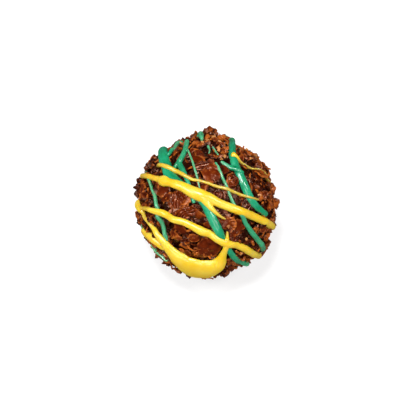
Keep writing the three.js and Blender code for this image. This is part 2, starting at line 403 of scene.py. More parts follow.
def drizzledChocolate(name):
    look = drizzleLooks[name]
    paint = Paint(name + " chocolate", {
        "Specular IOR Level": drizzleShine["gloss"],
        "Subsurface Weight": drizzleShine["glowing"],
        "Subsurface Radius": look["glow"],
        "Subsurface Scale": drizzleShine["glowDepth"],
    })
    place = paint.place()
    clouds = paint.noise(place, *drizzleShine["clouds"])
    fine = paint.noise(place, *drizzleShine["fine"])
    # the width attribute is also cut down the ball's sides, as painted shade
    thick = paint.step(paint.attribute("width"), *drizzleShine["thinUnder"])
    full = paint.mix(paint.step(clouds, *drizzleShine["lights"]), look["deep"], look["light"])
    paint.feed({
        "Base Color": paint.mix(thick, look["thin"], full),
        "Roughness": look["roughness"] + clouds * drizzleShine["rougher"],
        "Normal": paint.bump(clouds * 0.8 + fine * 0.2, *drizzleShine["bump"]),
    })
    return paint.material


# The drizzle: routes drawn on the picture, as [right, up, width]

yellowRoutes = [
    {"route": [
        [5.9, 12.2, 1.9], [6.6, 11.9, 1.7], [7.4, 11.2, 0.85], [8.7, 10.3, 0.5], [11.0, 8.8, 0.32],
        [13.3, 7.2, 0.28], [14.6, 6.2, 0.28], [15.8, 5.4, 0.5],
    ]},
    {"route": [
        [-11.9, 9.2, 0.5], [-11.2, 9.2, 0.95], [-9.5, 8.8, 1.1], [-6.9, 8.0, 1.1], [-4.6, 6.7, 0.87],
        [-3.3, 6.1, 0.77], [-0.8, 5.7, 0.67], [1.8, 4.7, 0.77], [4.9, 3.8, 0.77], [7.9, 2.6, 0.77],
        [10.5, 1.6, 0.56], [12.8, 1.1, 0.6],
    ]},
    {"tail": 1.6, "route": [
        [-16.6, 7.1, 1.3], [-15.6, 7.0, 1.4], [-13.8, 6.7, 1.4], [-12.0, 6.2, 1.4], [-11.0, 6.0, 1.7],
        [-10.3, 5.7, 3.1], [-9.5, 5.5, 2.6], [-8.6, 5.2, 1.9], [-7.4, 4.9, 2.1], [-5.4, 4.2, 2.3],
        [-3.1, 2.9, 2.8], [-1.0, 2.1, 3.1], [0.8, 1.6, 2.6], [3.3, 0.3, 2.05], [7.2, -1.2, 2.05],
        [11.0, -2.6, 2.05], [13.6, -3.8, 1.9], [15.6, -4.9, 1.9], [16.9, -5.6, 1.8],
    ]},
    {"route": [
        [-0.8, 1.6, 2.0], [0.8, -0.4, 1.5], [2.3, -2.0, 1.0], [3.6, -3.0, 0.7], [5.0, -3.7, 0.4],
    ]},
    {"tail": 1.4, "route": [
        [-16.1, -0.6, 0.8], [-13.3, -1.1, 1.15], [-12.0, -1.6, 1.5], [-10.5, -2.1, 1.8],
        [-8.2, -3.3, 1.7], [-5.6, -4.1, 1.7], [-3.1, -5.3, 1.8], [-1.3, -6.3, 2.2], [0.8, -7.1, 1.8],
        [2.8, -8.4, 1.7], [4.9, -9.4, 2.0], [7.2, -9.9, 1.7], [9.7, -10.9, 1.8], [11.8, -12.2, 1.7],
        [13.1, -12.9, 1.7],
    ]},
    {"route": [
        [-17.4, 0.7, 2.6], [-16.4, -0.2, 2.5], [-15.4, -1.5, 1.2], [-14.6, -3.3, 0.8],
        [-13.6, -4.8, 1.15], [-12.4, -6.4, 1.5], [-11.2, -7.9, 1.9], [-9.8, -9.5, 2.4],
        [-8.6, -10.9, 2.9], [-7.2, -12.5, 4.0], [-5.7, -14.2, 6.8], [-3.9, -15.5, 9.4],
        [-2.0, -16.0, 10.2], [0.2, -15.9, 8.8], [1.9, -15.2, 6.4], [3.1, -14.2, 4.2], [3.9, -12.7, 2.2],
        [4.5, -10.9, 1.4], [4.9, -9.4, 1.5], [5.1, -7.6, 0.8], [5.1, -6.3, 0.4],
    ]},
    {"route": [
        [-16.1, -6.3, 2.0], [-14.9, -7.1, 2.3], [-13.3, -8.1, 2.3], [-11.5, -9.6, 2.0],
        [-9.5, -11.0, 1.6],
    ]},
]
greenRoutes = [
    {"tail": 0.8, "route": [
        [-10.1, 13.0, 2.6], [-10.1, 11.9, 2.7], [-9.9, 10.3, 2.7], [-9.5, 8.8, 2.8], [-9.4, 7.5, 2.8],
        [-8.4, 6.5, 2.8], [-7.4, 5.5, 2.6], [-3.8, 3.2, 1.8], [-1.5, 1.5, 1.8], [-0.3, 0.0, 1.9],
        [0.9, -2.2, 2.1], [2.0, -4.4, 2.3], [3.1, -6.5, 2.2], [4.1, -8.4, 1.6], [5.6, -11.2, 1.6],
        [6.7, -12.7, 1.5], [7.9, -13.7, 1.5], [9.7, -14.1, 1.5],
    ]},
    {"route": [[-5.6, 15.3, 0.9], [-6.7, 14.4, 1.15], [-7.7, 12.9, 0.9], [-8.7, 11.3, 0.7]]},
    {"route": [[-8.3, 14.8, 0.77], [-7.4, 15.1, 0.6], [-6.7, 14.6, 0.4]]},
    {"route": [
        [-4.4, 15.2, 1.2], [-5.0, 13.1, 1.3], [-5.9, 11.3, 1.3], [-6.7, 10.3, 1.5], [-5.8, 8.5, 1.4],
        [-4.9, 6.7, 1.15], [-4.2, 4.9, 1.0], [-3.6, 2.4, 0.95], [-3.2, 1.0, 0.95], [-2.7, 0.1, 0.8],
    ]},
    {"route": [[-6.7, 10.3, 1.2], [-7.7, 9.0, 1.0], [-8.4, 8.8, 0.9]]},
    {"route": [
        [-4.4, 13.1, 0.4], [-3.3, 10.6, 0.56], [-2.6, 8.3, 0.6], [-2.0, 6.2, 0.56], [-1.7, 4.7, 0.4],
        [-1.4, 3.7, 0.34],
    ]},
    {"tail": 0.6, "route": [
        [2.2, 10.7, 0.6], [3.1, 9.0, 0.7], [4.1, 6.7, 0.7], [5.0, 4.4, 0.7], [5.9, 2.4, 0.7],
        [6.9, 0.1, 0.8], [7.9, -1.7, 1.0], [9.0, -3.0, 1.15], [10.0, -5.0, 1.15], [11.5, -7.1, 1.3],
        [12.9, -9.0, 1.3], [13.7, -10.2, 1.5], [14.1, -10.9, 1.6],
    ]},
    {"route": [
        [6.1, 15.3, 1.7], [6.4, 13.6, 1.9], [6.7, 12.1, 2.0], [7.2, 10.3, 2.1], [7.9, 8.5, 2.0],
        [8.7, 7.0, 2.1], [9.5, 4.9, 2.2], [10.5, 2.9, 2.2], [11.5, 0.8, 2.1], [12.8, -0.7, 1.7],
        [14.1, -2.0, 1.5], [14.7, -2.6, 1.5],
    ]},
    {"route": [
        [-16.2, 9.6, 1.2], [-15.3, 8.8, 1.1], [-14.6, 8.0, 0.7], [-13.4, 5.7, 0.6], [-13.1, 3.9, 0.6],
        [-12.3, 2.4, 0.7], [-11.8, 0.3, 0.77], [-11.5, -0.7, 0.9], [-11.8, -2.7, 1.15],
        [-10.8, -4.3, 1.0], [-10.1, -6.1, 1.0], [-9.5, -8.1, 0.8], [-9.2, -8.9, 0.6],
    ]},
    {"route": [[-17.2, -1.5, 1.0], [-16.3, -2.1, 0.7]]},
    {"route": [[-15.2, -4.5, 0.3], [-15.1, -5.8, 0.3]]},
    {"route": [[-12.8, -9.1, 0.4], [-11.8, -10.7, 0.5], [-10.2, -12.2, 0.4], [-8.7, -13.2, 0.3]]},
    {"route": [[-1.2, 17.7, 0.7], [-1.3, 16.9, 1.4], [-1.1, 16.2, 1.4], [-0.9, 15.3, 0.6]]},
    {"route": [[-2.4, 16.5, 0.5], [-1.6, 16.6, 0.9], [-0.8, 16.7, 0.9], [0.1, 17.0, 0.5]]},
    {"route": [[-2.1, 17.4, 0.4], [-1.5, 17.1, 0.8]]},
    {"route": [[0.4, 14.4, 0.8], [0.8, 13.6, 0.4], [1.0, 12.9, 0.36], [0.6, 12.2, 0.36]]},
    {"route": [[1.5, 14.2, 0.4], [2.3, 12.9, 0.4], [3.1, 11.7, 0.34]]},
    {"route": [[3.5, 17.0, 0.34], [4.4, 16.2, 0.4], [5.2, 15.3, 0.4]]},
    {"route": [[7.9, 13.9, 0.5], [8.4, 13.5, 0.5]]},
    {"over": True, "route": [
        [3.6, 11.0, 0.7], [5.1, 9.8, 1.0], [6.6, 8.7, 1.2], [7.9, 7.9, 1.1], [9.1, 7.3, 0.6],
    ]},
]
drizzle = {
    "levels": (-0.3, 0.15),  # of a thin and a thick strand's middle, as it is drawn
    "thick": 2.2,  # the width of a thick one
    "step": 0.22,  # along a strand
    "sides": 28,
    "pathSoft": (0.4, 1.4),  # how far a strand's and a broad pouch's path is smoothed
    "broad": (2.4, 2.0),  # the width from which it is broad, and over how much more fully so
    "downwards": (3.2, 2.5),  # and from which its sections lie straight down the ball
    "threadHeight": 0.08,  # over what it lies on
    "fullHeight": 0.44,  # and how much more for each millimetre of width
    "mostHeight": 2.0,
    "sinks": 0.28,  # of its height, into what it lies on
    "sunk": 0.6,  # how deep its underside lies
    "lowest": 1.0,  # the furthest it lies under the ball's widest radius
    "feltFrom": 8.0,  # over that radius, where the feelers for the coating start
    "feelers": (-0.8, -0.4, 0.0, 0.4, 0.8),  # across its half width
    "onHighest": 0.75,  # how much the highest place felt counts, and the rest is the mean
    "thread": 0.5,  # the width of the widest thread
    "bridges": (0.9, 0.45),  # how far a thread and a strand reach over gaps
    "settle": (0.6, 1.8),  # how far a thin and a thick strand even out what they lie on
    "settling": (1.0, 1.5),  # the width from which it is thick there, and over how much more
    "ripple": (0.08, 1.1),  # how uneven its width is, and how quickly that changes
    "shortEnd": 0.15,  # the least length of its round ends
    "bluntest": (0.12, 0.2),  # of its width and its depth, that are left at the very end
    "voxel": 0.12,
    "skinSmoothing": 5,
    "kept": 0.42,  # of the faces, once the skin is smooth
    "smoothing": 24,  # of the thick strands
    "smoothed": (1.8, 2.0),  # the width from which they get that, and over how much more fully
    "nearest": 5.8,  # how far from a strand's middle its skin can be
    "edge": (2.2, 0.25),  # how its width is read near its edge
    "sideShade": 0.45,  # painted shade: how much of the duller thin colour it takes down the ball's sides
    "sideShadeFrom": 0.7,  # of the way to the eye, where that painted shade begins
    "seeds": {"green_drizzle": 3, "yellow_drizzle": 4},
    "press": 0.55,  # how far the coating is pressed in under it
    "proud": 0.5,  # and how much less on the sides
    "pressedTo": (1.3, 0.7),  # fully up to a little past its edge, and then fading out
    "pressedBy": 1.2,  # the width from which it presses fully
}


def smoothed(values, reach):
    # a running mean with soft ends, along a strand
    sigma = reach / drizzle["step"]
    ends = max(1, int(3 * sigma))
    weights = np.exp(-0.5 * (np.arange(-ends, ends + 1) / sigma) ** 2)
    weights = weights / weights.sum()
    padded = np.pad(values, ((ends, ends), (0, 0)), mode="edge")
    columns = [np.convolve(padded[:, i], weights, mode="valid") for i in range(values.shape[1])]
    return np.stack(columns, axis=1)


def ramp(value, slope):
    # 0 up to where the slope starts, and 1 from its end on
    start, length = slope
    return np.clip((value - start) / length, 0, 1)


def strandLine(strand):
    # directions and widths at even steps, smoothly past the drawn points
    low, high = drizzle["levels"]
    directions = []
    widths = []
    for right, up, width in strand["route"]:
        lift = low + (high - low) * min(1.0, width / drizzle["thick"])
        directions.append(drawnDirection(right, up, lift))
        widths.append(width)
    if "tail" in strand:
        axis = directions[-2].cross(directions[-1]).normalized()
        directions.append(Matrix.Rotation(strand["tail"] / ball["radius"], 3, axis) @ directions[-1])
        widths.append(widths[-1])
    knots = np.array([[*(d * ball["radius"]), w] for d, w in zip(directions, widths)])
    gaps = np.linalg.norm(np.diff(knots[:, :3], axis=0), axis=1)
    along = np.concatenate([[0.0], np.cumsum(gaps)])
    steps = np.linspace(0.0, along[-1], max(4, int(along[-1] / drizzle["step"])))
    even = np.stack([np.interp(steps, along, knots[:, i]) for i in range(4)], axis=1)
    close, wide = [smoothed(even, reach) for reach in drizzle["pathSoft"]]
    share = ramp(close[:, 3:], drizzle["broad"])
    return close * (1 - share) + wide * share


# all places along the strands, with their widths
spots = np.concatenate([strandLine(strand) for strand in yellowRoutes + greenRoutes])
spotDirections = spots[:, :3] / np.linalg.norm(spots[:, :3], axis=1, keepdims=True)


def underDrizzle(direction):
    # 1 under a thick strand, less beside it and under a thin one
    away = np.arccos(np.clip(spotDirections @ np.array(direction), -1, 1)) * ball["radius"]
    full, fade = drizzle["pressedTo"]
    beside = np.clip(full - (away - spots[:, 3] / 2) / fade, 0, 1)
    return (beside * np.clip(spots[:, 3] / drizzle["pressedBy"], 0, 1)).max()


# Templates of the pieces of the coating, each broken out as by hand

# how far apart pieces take their shapes and their patterns from the noise, so that no two are alike
patternSpan = 90.0
materialSpan = 500.0


def anywhere(rng):
    return Vector([rng.uniform(0, patternSpan) for _ in range(3)])


breaking = {
    "lumpRim": 0.8,  # lumps are this broken all over
    "aside": 0.35,  # how far a sheet's breaks are off their even turns
    "shift": 1.1,  # how fine its outline is frayed
    "evenCrest": 0.6,  # the height of a crest that lies level with the sheet
    "fullRidge": 0.1,  # the ridge height from which the painted shade in the valleys between them is full
    # how quickly the painted shade in the valleys fades towards the crests
    "valley": 1.4,
    "wornFrom": math.radians(50),
    "roundness": 0.55,  # radius of a lump before it is broken
}
ridges = {
    "bends": 0.33,
    "fray": 0.45,  # how uneven they are
    "frays": 0.9,
    "swirlBend": 0.3,
}


def readTemplate(piece):
    # points, triangles, how near the rim each point is and its painted shade, and the piece itself goes
    mesh = piece.data
    mesh.calc_loop_triangles()
    points = np.empty(len(mesh.vertices) * 3)
    mesh.vertices.foreach_get("co", points)
    faces = np.empty(len(mesh.loop_triangles) * 3, dtype=np.int64)
    mesh.loop_triangles.foreach_get("vertices", faces)
    rim = np.full(len(mesh.vertices), breaking["lumpRim"])
    hollow = np.zeros(len(mesh.vertices))
    if "rim" in mesh.attributes:
        mesh.attributes["rim"].data.foreach_get("value", rim)
        mesh.attributes["hollow"].data.foreach_get("value", hollow)
    bpy.data.objects.remove(piece)
    bpy.data.meshes.remove(mesh)
    return {"points": points.reshape(-1, 3), "faces": faces.reshape(-1, 3), "rim": rim, "hollow": hollow}


def cutOff(way, reach, fill):
    # breaks off what lies further out than reach in a direction
    bpy.ops.mesh.select_all(action="SELECT")
    bpy.ops.mesh.bisect(plane_co=way * reach, plane_no=way, clear_outer=True, use_fill=fill)


def relief(look, x, y, seed):
    # how the sheet is waved, and how far a place on it is from the valleys between the blade's ridges
    spot = Vector((x, y, 0.0))
    waves = look["wave"] * noise.noise(spot / look["waveSize"] + seed)
    bend = look["bend"] * noise.noise(spot * ridges["bends"] - seed)
    phase = (x + bend + look["slant"] * y) / look["pitch"]
    if look["swirl"]:
        phase = (math.hypot(x, y) + ridges["swirlBend"] * bend) / look["pitch"]
        phase += math.atan2(y, x) / (2 * math.pi)
    fray = 1.0 + ridges["fray"] * noise.noise(spot * ridges["frays"] + seed * 2)
    return waves, fray * abs(math.sin(math.pi * phase))


def shavingTemplate(look, rng):
    # a thin sheet with a broken outline, its relief, its thickness and its worn edges
    long, wide = look["size"]
    bpy.ops.object.select_all(action="DESELECT")
    rows, columns = look["cells"]
    bpy.ops.mesh.primitive_grid_add(x_subdivisions=rows, y_subdivisions=columns, size=1.0)
    piece = bpy.context.active_object
    bpy.ops.object.mode_set(mode="EDIT")
    bpy.ops.transform.resize(value=(long, wide, 1.0))
    cuts = []
    for i in range(look["cuts"]):
        turn = 2 * math.pi * (i + rng.uniform(-breaking["aside"], breaking["aside"])) / look["cuts"]
        reach = math.hypot(long / 2 * math.cos(turn), wide / 2 * math.sin(turn))
        reach *= rng.uniform(*look["reach"])
        cuts.append((turn, reach))
        cutOff(Vector((math.cos(turn), math.sin(turn), 0.0)), reach, fill=False)
    bpy.ops.object.mode_set(mode="OBJECT")
    seed = anywhere(rng)
    piece.data.attributes.new("rim", "FLOAT", "POINT")
    piece.data.attributes.new("hollow", "FLOAT", "POINT")
    rim = piece.data.attributes["rim"]
    hollow = piece.data.attributes["hollow"]
    for i, vertex in enumerate(piece.data.vertices):
        x, y = vertex.co.x, vertex.co.y
        inside = min([reach - x * math.cos(turn) - y * math.sin(turn) for turn, reach in cuts])
        inside = min(inside, long / 2 - abs(x), wide / 2 - abs(y))
        rim.data[i].value = max(0.0, 1.0 - inside / look["rimWidth"])
        shift = noise.noise_vector(Vector((x, y, 0.0)) * breaking["shift"] + seed) * look["ragged"]
        waves, crest = relief(look, x, y, seed)
        crests = 2 * look["ridge"] * (crest - breaking["evenCrest"])
        vertex.co = (x + shift.x, y + shift.y, waves + crests)
        # painted shade in the valleys between the blade's ridges
        dark = min(1.0, look["ridge"] / breaking["fullRidge"])
        hollow.data[i].value = dark * max(0.0, 1 - breaking["valley"] * crest)
    addModifier(piece, "SOLIDIFY", thickness=look["thickness"], offset=0.0)
    if look["worn"] > 0:
        edges = {"limit_method": "ANGLE", "angle_limit": breaking["wornFrom"]}
        addModifier(piece, "BEVEL", width=look["worn"], **edges)
    applyModifiers(piece)
    return readTemplate(piece)


def chunkTemplate(look, rng):
    # an uneven lump with a few flat breaks
    bpy.ops.object.select_all(action="DESELECT")
    bpy.ops.mesh.primitive_ico_sphere_add(subdivisions=look["finer"], radius=breaking["roundness"])
    piece = bpy.context.active_object
    bpy.ops.object.mode_set(mode="EDIT")
    bpy.ops.transform.resize(value=look["size"])
    for _ in range(look["cuts"]):
        way = Vector((rng.gauss(0, 1), rng.gauss(0, 1), rng.gauss(0, 1))).normalized()
        radius = Vector([way[i] * look["size"][i] / 2 for i in range(3)]).length
        cutOff(way, rng.uniform(*look["reach"]) * radius, fill=True)
    bpy.ops.object.mode_set(mode="OBJECT")
    seed = anywhere(rng)
    for vertex in piece.data.vertices:
        shift = noise.noise_vector(vertex.co * look["bumps"] + seed)
        vertex.co += shift * look["uneven"]
    return readTemplate(piece)


# Laying the pieces on the ball

leeway = {
    "aside": 0.7,  # how far a piece may stand out of the solid's box
    "back": 0.95,
    "top": 0.5,
    "foot": 0.04,  # and how far it stays over the table
}
lowest = np.array(cadBox[0]) * metre - leeway["aside"]
lowest[2] = leeway["foot"]
highest = np.array(cadBox[1]) * metre + np.array([leeway["aside"], leeway["back"], leeway["top"]])

# painted shade: the coating is darkened in the gaps from a little under the ball's mean level
gaps = {
    "from": 0.15,
    "depth": 0.6,
    "shades": (-0.3, 1.0),  # the painted shade of what stands out, which lightens it, and of what lies deepest
}


class Heap:
    # many copies of templates, joined into one piece of the scene
    def __init__(self, name):
        self.name = name
        self.laid = []
        self.count = 0

    def lay(
        self, template, direction, rng,
        lift=0.0, turn=0.0, tip=0.0, scale=(1.0, 1.0, 1.0), curl=0.0, tint=0.5,
    ):
        across, along = tangents(direction)
        lift -= ball["coatDepth"]
        points = template["points"] * np.array(scale)
        flat = points + np.array([0.0, 0.0, rng.uniform(0.0, materialSpan)])
        x, y = points[:, 0], points[:, 1]
        points[:, 2] -= (x ** 2 + y ** 2) / (2 * ball["radius"]) + curl * x ** 2
        way = rng.uniform(0, 2 * math.pi)
        tipAxis = Vector((math.cos(way), math.sin(way), 0.0))
        turned = Matrix.Rotation(tip, 3, tipAxis) @ Matrix.Rotation(turn, 3, "Z")
        onto = Matrix((across, along, direction)).transposed() @ turned
        points = points @ np.array(onto).T + np.array(onBall(direction, lift))
        if (points < lowest).any() or (points > highest).any():
            return
        # painted shade, darker the deeper a point lies under the ball's level and lighter where it stands
        # out
        level = (onBall(direction) - centre).length - np.linalg.norm(points - np.array(centre), axis=1)
        shade = np.clip((level - gaps["from"]) / gaps["depth"], *gaps["shades"])
        self.laid.append({
            "points": points,
            "faces": template["faces"] + self.count,
            "flat": flat,
            "rim": template["rim"],
            "hollow": template["hollow"] + shade,
            "tint": np.full(len(points), tint),
        })
        self.count += len(points)

    def joined(self, key):
        return np.concatenate([copy[key] for copy in self.laid])

    def join(self):
        piece = newPiece(self.name, self.joined("points"), self.joined("faces"))
        for key in ("rim", "hollow", "tint"):
            attribute = piece.data.attributes.new(key, "FLOAT", "POINT")
            attribute.data.foreach_set("value", self.joined(key))
        flat = piece.data.attributes.new("flat", "FLOAT_VECTOR", "POINT")
        flat.data.foreach_set("vector", self.joined("flat").ravel())
        piece.data.update()
        return piece


def spread(count, rng, jitter=0.6):
    # directions spread evenly over the ball, each a little off its place
    start = rng.uniform(0, 2 * math.pi)
    reach = jitter * math.sqrt(4 * math.pi / count)
    for i in range(count):
        height = 1 - 2 * (i + 0.5) / count
        ring = math.sqrt(1 - height * height)
        around = start + i * goldenAngle
        d = Vector((ring * math.cos(around), ring * math.sin(around), height))
        yield (d + Vector([rng.uniform(-reach, reach) for _ in range(3)])).normalized()


# how far towards the eye the top begins, and over how much more it is fully so
topSlope = (0.45, 0.35)


def onTop(direction):
    # 1 on the side that faces the eye, 0 on the sides and below
    across = float(ramp(direction.dot(towardsEye), topSlope))
    return across * across * (3 - 2 * across)


clumps = {
    "size": 1.7,
    "height": 1.55,
}


def coatLift(direction):
    # on the sides the crumbs hang together in clumps, and under the drizzle they are pressed in
    lumps = noise.noise(direction * (ball["radius"] / clumps["size"])) * (1 - onTop(direction))
    under = underDrizzle(direction)
    press = drizzle["press"] * (1 - drizzle["proud"] * (1 - onTop(direction)))
    return clumps["height"] * lumps * (1 - under) - press * under


# The chocolate ball

core = {
    "finer": 6,
    "follows": 0.8,  # of the coating's clumps
    "lumpSize": 2.6,
    "lump": 0.28,
    "smearSize": 0.7,
    "smear": 0.10,
}


def makeCore():
    bpy.ops.object.select_all(action="DESELECT")
    bpy.ops.mesh.primitive_ico_sphere_add(subdivisions=core["finer"], radius=1.0)
    body = bpy.context.active_object
    body.name = "praline_body"
    for vertex in body.data.vertices:
        d = vertex.co.normalized()
        lump = core["lump"] * noise.noise(d * (ball["radius"] / core["lumpSize"]))
        smear = core["smear"] * noise.noise(d * (ball["radius"] / core["smearSize"]))
        vertex.co = onBall(d, lump + smear + core["follows"] * coatLift(d) - ball["coreDepth"])
    bpy.ops.object.mode_set(mode="EDIT")
    bpy.ops.mesh.select_all(action="SELECT")
    bpy.ops.mesh.bisect(plane_co=(0, 0, 0), plane_no=(0, 0, 1), clear_inner=True, use_fill=True)
    bpy.ops.object.mode_set(mode="OBJECT")
    return body


# The shavings and crumbs

plainLump = {"finer": 2, "cuts": 3, "reach": (0.5, 0.9)}
plainSheet = {"ridge": 0.0, "pitch": 1.0, "slant": 0.0, "bend": 1.2, "swirl": False, "rimWidth": 0.3}
broad = {
    "smooth": {
        **plainSheet, "size": (4.6, 3.5), "cells": (9, 7), "cuts": 6, "reach": (0.72, 1.0),
        "thickness": 0.40, "worn": 0.08, "ragged": 0.32, "wave": 0.30, "waveSize": 1.5,
    },
    "ridged": {
        **plainSheet, "size": (4.4, 3.2), "cells": (22, 4), "cuts": 6, "reach": (0.74, 1.0),
        "thickness": 0.42, "worn": 0.07, "ragged": 0.25, "wave": 0.25, "waveSize": 1.8,
        "ridge": 0.15, "pitch": 0.75, "slant": 0.15,
    },
    "variants": 12,
    "tries": {"smooth": 430, "ridged": 300},
    "seeds": {"smooth": 11, "ridged": 12},
    "besideTop": 0.5,  # how many of them stay on the sides, where crumbs take their place
    "sizes": (0.6, 1.05),
    "lift": (-0.35, 0.45),
    "tip": 0.26,
    "flatter": 0.08,  # how much less they are tipped on top
    "squeeze": (0.85, 1.15),
    "curl": (-0.02, 0.05),
    "tint": (0.36, 0.15),
}


def layBroad(name):
    rng = random.Random(broad["seeds"][name])
    templates = [shavingTemplate(broad[name], rng) for _ in range(broad["variants"])]
    heap = Heap(name + "_shavings")
    for direction in spread(broad["tries"][name], rng):
        top = onTop(direction)
        room = min((direction - place).length * ball["radius"] - reach for place, reach in taken)
        if rng.random() > broad["besideTop"] + (1 - broad["besideTop"]) * top or room < 0:
            continue
        size = rng.uniform(*broad["sizes"])
        heap.lay(
            rng.choice(templates), direction, rng,
            lift=rng.uniform(*broad["lift"]) + coatLift(direction),
            turn=rng.uniform(0, 2 * math.pi),
            tip=rng.gauss(0, broad["tip"] - broad["flatter"] * top),
            scale=(size, size * rng.uniform(*broad["squeeze"]), 1.0),
            curl=rng.uniform(*broad["curl"]),
            tint=rng.gauss(*broad["tint"]),
        )
    return heap


# the shavings that stand out on top: [right, up, length, width, turn, look, tint]
crinkled = {"ridge": 0.27, "pitch": 0.62, "slant": 0.1, "bend": 0.9, "ragged": 0.12, "cell": (0.14, 0.3)}
grooved = {"ridge": 0.20, "pitch": 0.72, "slant": 0.06, "bend": 1.3, "ragged": 0.15, "cell": (0.14, 0.3)}
swirled = {"ridge": 0.17, "pitch": 0.75, "swirl": True, "ragged": 0.2, "cell": (0.14, 0.15)}
shownShavings = [
    [-6.9, 1.2, 5.6, 4.4, -8, crinkled, 0.42],
    [-4.9, -2.1, 2.8, 7.0, -66, grooved, 0.36],
    [2.9, 2.5, 4.6, 2.8, 10, swirled, 0.36],
    [-6.4, -6.0, 4.0, 2.1, -32, {}, 0.28],
    [-7.7, -7.9, 3.3, 1.9, -30, {}, 0.50],
    [-3.0, -8.5, 3.3, 2.0, 10, {}, 0.45],
    [0.8, -10.8, 6.2, 5.7, 20, {}, 0.36],
    [-2.3, -12.2, 2.7, 2.3, 60, {}, 0.40],
    [8.0, -5.4, 3.8, 3.0, -50, {}, 0.33],
    [7.5, -7.9, 3.9, 3.1, -40, grooved, 0.24],
    [10.5, -9.6, 2.2, 1.4, -20, {}, 0.50],
    [4.7, -3.4, 3.8, 2.7, -35, swirled, 0.36],
    [6.8, 6.1, 3.6, 3.5, 60, swirled, 0.36],
    [1.3, 8.0, 5.1, 4.7, -20, {}, 0.44],
    [9.6, 12.2, 1.9, 3.6, 57, grooved, 0.38],
    [6.3, 3.6, 3.1, 2.5, 15, {}, 0.40],
    [12.8, 4.0, 3.4, 2.6, -60, {}, 0.28],
    [-2.3, 12.2, 4.4, 3.4, 80, {}, 0.40],
    [-6.2, 6.6, 2.7, 1.7, -20, {}, 0.36],
    [-10.9, 3.5, 3.8, 3.2, 45, {}, 0.40],
    [-14.4, 3.2, 2.5, 2.5, 0, {}, 0.30],
    [-4.2, 17.0, 3.4, 2.0, 38, {}, 0.45],
    [-14.2, 0.9, 2.3, 2.2, 0, swirled, 0.34],
]
shown = {
    "seed": 29,
    "level": 0.4,  # over the ball's mean level, where the picture shows them
    "lift": 0.42,
    "tip": 0.05,
    "curl": 0.01,
    "reach": (0.86, 1.02),
    "cell": (0.36, 0.36),  # of a smooth one's sheet
    "keptFree": 0.32,  # of its width, round its middle
}
taken = [
    (drawnDirection(right, up, shown["level"]), shown["keptFree"] * min(long, wide))
    for right, up, long, wide, _, _, _ in shownShavings
]


def layShown(smooth, ridged):
    rng = random.Random(shown["seed"])
    for right, up, long, wide, turn, marks, tint in shownShavings:
        cell = marks.get("cell", shown["cell"])
        look = {
            **broad["smooth"], **marks, "size": (long, wide), "reach": shown["reach"],
            "cells": (round(long / cell[0]), round(wide / cell[1])),
        }
        direction = drawnDirection(right, up, shown["level"])
        (ridged if marks else smooth).lay(
            shavingTemplate(look, rng), direction, rng,
            lift=shown["lift"] + coatLift(direction),
            turn=math.radians(turn),
            tip=rng.gauss(0, shown["tip"]),
            curl=shown["curl"],
            tint=tint,
        )


# onTop is the share that stays there; lift, size and curl are ranges, tint is a mean and a spread
scattered = {
    "small_shavings": {
        "look": {
            **plainSheet, "size": (2.3, 1.5), "cells": (4, 3), "cuts": 5, "reach": (0.7, 1.0),
            "thickness": 0.32, "worn": 0.06, "ragged": 0.22, "wave": 0.25, "waveSize": 1.0,
        },
        "seed": 23, "variants": 14, "tries": 1000, "onTop": 0.30, "tint": (0.32, 0.2),
        "lift": (-0.2, 0.75), "tip": 0.8, "size": (0.6, 1.2), "curl": (-0.1, 0.12),
    },
    "slivers": {
        "look": {
            **plainSheet, "size": (2.8, 0.55), "cells": (7, 2), "cuts": 4, "reach": (0.7, 1.0),
            "thickness": 0.24, "worn": 0.0, "ragged": 0.25, "wave": 0.45, "waveSize": 1.3,
        },
        "seed": 31, "variants": 20, "tries": 1000, "onTop": 0.65, "tint": (0.66, 0.26),
        "lift": (0.1, 0.7), "tip": 0.3, "size": (0.6, 1.15), "curl": (-0.03, 0.06),
    },
    "crumbs": {
        "look": {**plainLump, "size": (2.1, 1.5, 1.1), "bumps": 1.6, "uneven": 0.45},
        "seed": 43, "variants": 24, "tries": 1100, "onTop": 0.10, "tint": (0.24, 0.17),
        "lift": (-0.3, 0.85), "tip": 1.2, "size": (0.5, 1.25), "curl": (0.0, 0.0),
    },
    "fine_crumbs": {
        "look": {**plainLump, "finer": 1, "cuts": 1, "size": (0.8, 0.6, 0.45), "bumps": 3.0, "uneven": 0.16},
        "seed": 57, "variants": 16, "tries": 1700, "onTop": 0.25, "tint": (0.42, 0.25),
        "lift": (-0.1, 0.5), "tip": 1.2, "size": (0.5, 1.15), "curl": (0.0, 0.0),
    },
    "jitter": 0.9,
    "lowerOnTop": 0.25,  # how much less the highest of them stand out there
    "flatterOnTop": 0.6,  # and how much less they are tipped
    "squeeze": (0.8, 1.2),
}


def layScattered(name):
    # scattered all over, but fewer on top, where the broad shavings show
    kind = scattered[name]
    rng = random.Random(kind["seed"])
    make = shavingTemplate if "thickness" in kind["look"] else chunkTemplate
    templates = [make(kind["look"], rng) for _ in range(kind["variants"])]
    heap = Heap(name)
    for direction in spread(kind["tries"], rng, scattered["jitter"]):
        top = onTop(direction)
        if rng.random() > 1 - (1 - kind["onTop"]) * top:
            continue
        scale = rng.uniform(*kind["size"])
        low, high = kind["lift"]
        heap.lay(
            rng.choice(templates), direction, rng,
            lift=rng.uniform(low, high - scattered["lowerOnTop"] * top) + coatLift(direction),
            turn=rng.uniform(0, 2 * math.pi),
            tip=rng.gauss(0, kind["tip"]) * (1 - scattered["flatterOnTop"] * top),
            scale=[scale, *[scale * rng.uniform(*scattered["squeeze"]) for _ in range(2)]],
            curl=rng.uniform(*kind["curl"]),
            tint=rng.gauss(*kind["tint"]),
        )
    return heap


